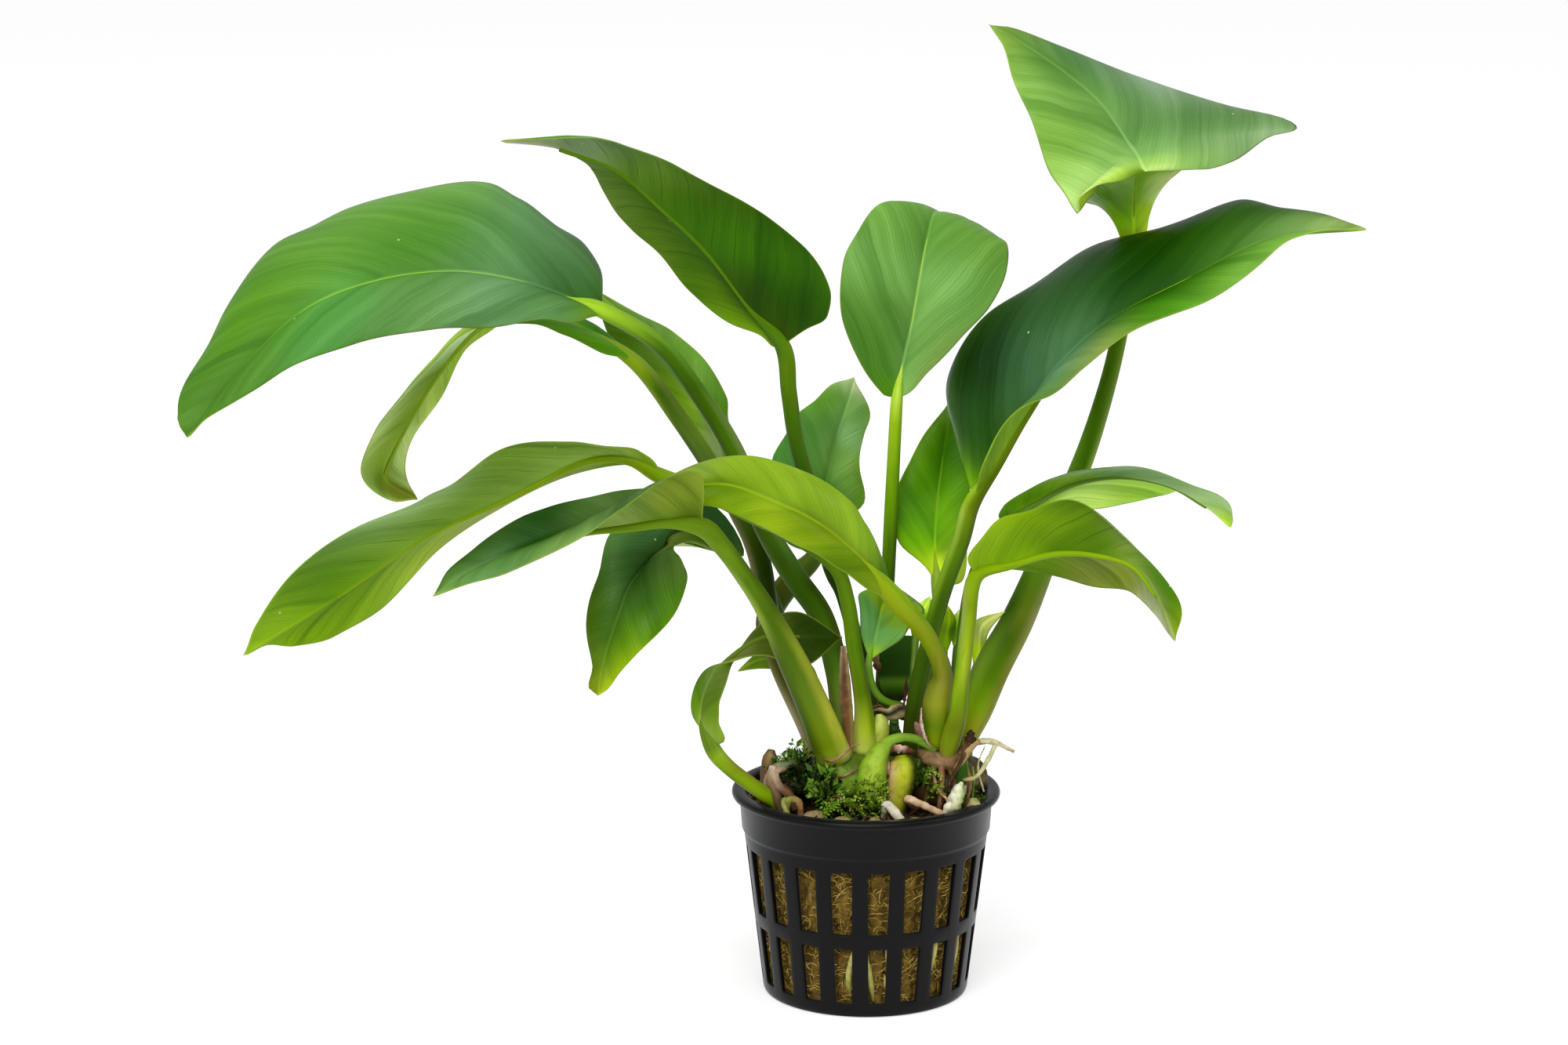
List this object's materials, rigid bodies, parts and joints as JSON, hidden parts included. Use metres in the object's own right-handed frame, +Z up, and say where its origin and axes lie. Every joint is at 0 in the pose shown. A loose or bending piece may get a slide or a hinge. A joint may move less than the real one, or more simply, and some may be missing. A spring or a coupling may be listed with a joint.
{
  "type": "potted anubias hastifolia",
  "caption": "Broad-leaved aquarium plant with long arching stems, growing from a creeping rhizome on a mineral wool plug in a small slotted net pot.",
  "frame": {"origin": "centre of the pot's flat underside", "axes": "+Z up along the pot's axis; +X towards the right-hand leaves as the plant is seen from its front, along its widest spread; -Y towards the front"},
  "size_m": [0.2247, 0.0997, 0.1957],
  "materials": {
    "pot_plastic": "satin",
    "mineral_wool": "matte",
    "rhizome": "matte",
    "leaf_green": "satin",
    "leaf_dark": "satin",
    "leaf_bright": "satin",
    "root_tan": "matte",
    "root_brown": "matte",
    "grain_tan": "matte"
  },
  "bodies": {
    "root": {"net_pot": "pot_plastic", "wool_plug": "mineral_wool", "rhizome": "rhizome", "leaf_left_large": "leaf_green", "leaf_left_drooping": "leaf_green", "leaf_back_left": "leaf_dark", "leaf_upper_left": "leaf_dark", "leaf_front_arching": "leaf_bright", "leaf_front_folded": "leaf_green", "leaf_left_low": "leaf_bright", "leaf_left_hanging": "leaf_dark", "leaf_centre_upright": "leaf_green", "leaf_back_middle": "leaf_dark", "leaf_right_upright": "leaf_green", "leaf_right_large": "leaf_dark", "leaf_top_right": "leaf_green", "leaf_right_arching": "leaf_green", "leaf_right_front": "leaf_bright", "leaf_small_heart": "leaf_dark", "leaf_loop": "leaf_green", "leaf_small_left": "leaf_dark", "leaf_new_left": "leaf_bright", "leaf_new_right": "leaf_bright", "leaf_small_dark": "leaf_dark", "leaf_small_olive": "leaf_bright", "leaf_small_front": "leaf_dark", "bud_sheath": "root_brown", "old_rhizome_stub": "root_brown", "root_right_pale": "root_tan", "root_left_knob": "root_tan", "root_left_arch": "root_tan", "root_left_thick": "root_brown", "root_left_loop": "root_tan", "root_front_stick": "root_tan", "root_front_white": "root_tan", "root_right_chunk": "root_tan", "grain_1": "grain_tan", "grain_2": "grain_tan", "grain_3": "grain_tan", "grain_4": "grain_tan"}
  },
  "joints": []
}
